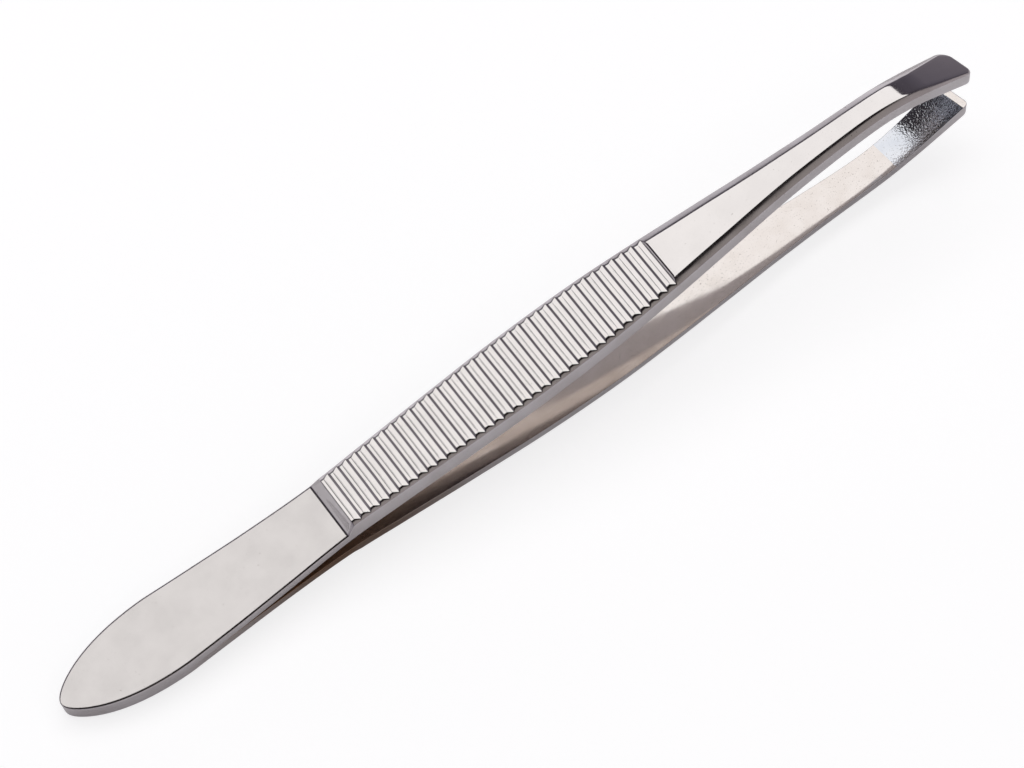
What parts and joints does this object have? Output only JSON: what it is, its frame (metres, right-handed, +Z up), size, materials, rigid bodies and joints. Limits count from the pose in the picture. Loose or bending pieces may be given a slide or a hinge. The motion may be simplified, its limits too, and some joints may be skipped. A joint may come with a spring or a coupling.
{
  "type": "slant tweezers",
  "caption": "Slant-tip tweezers: mirrored sprung steel arms welded at a flat tail, with ribbed grips, slim necks and slanted claw tips that close on each other.",
  "frame": {"origin": "middle of the bounding box, on the surface that the tweezers lie on", "axes": "+X from the tail towards the tips, +Z up, +Y across the arms; the tweezers lie on the tail's end and the lower arm"},
  "size_m": [0.0899, 0.0068, 0.0141],
  "materials": {
    "polished_steel": "nickel-plated spring steel, polished",
    "weld_steel": "spot-welded steel"
  },
  "bodies": {
    "tail": {"upper_tail_leaf": "polished_steel", "lower_tail_leaf": "polished_steel", "weld_spots": "weld_steel"},
    "upper_arm": {"upper_arm": "polished_steel"},
    "lower_arm": {"lower_arm": "polished_steel"}
  },
  "joints": [
    {"name": "upper_arm_flex", "type": "hinge", "parent": "tail", "child": "upper_arm", "pos_m": [-0.02658, 0, 0.00322], "axis": [0, 1, 0], "range_deg": [0, 1.75], "stiffness_Nm_per_rad": 4},
    {"name": "lower_arm_flex", "type": "hinge", "parent": "tail", "child": "lower_arm", "pos_m": [-0.02646, 0, 0.00176], "axis": [0, -1, 0], "range_deg": [0, 1.75], "stiffness_Nm_per_rad": 4}
  ]
}
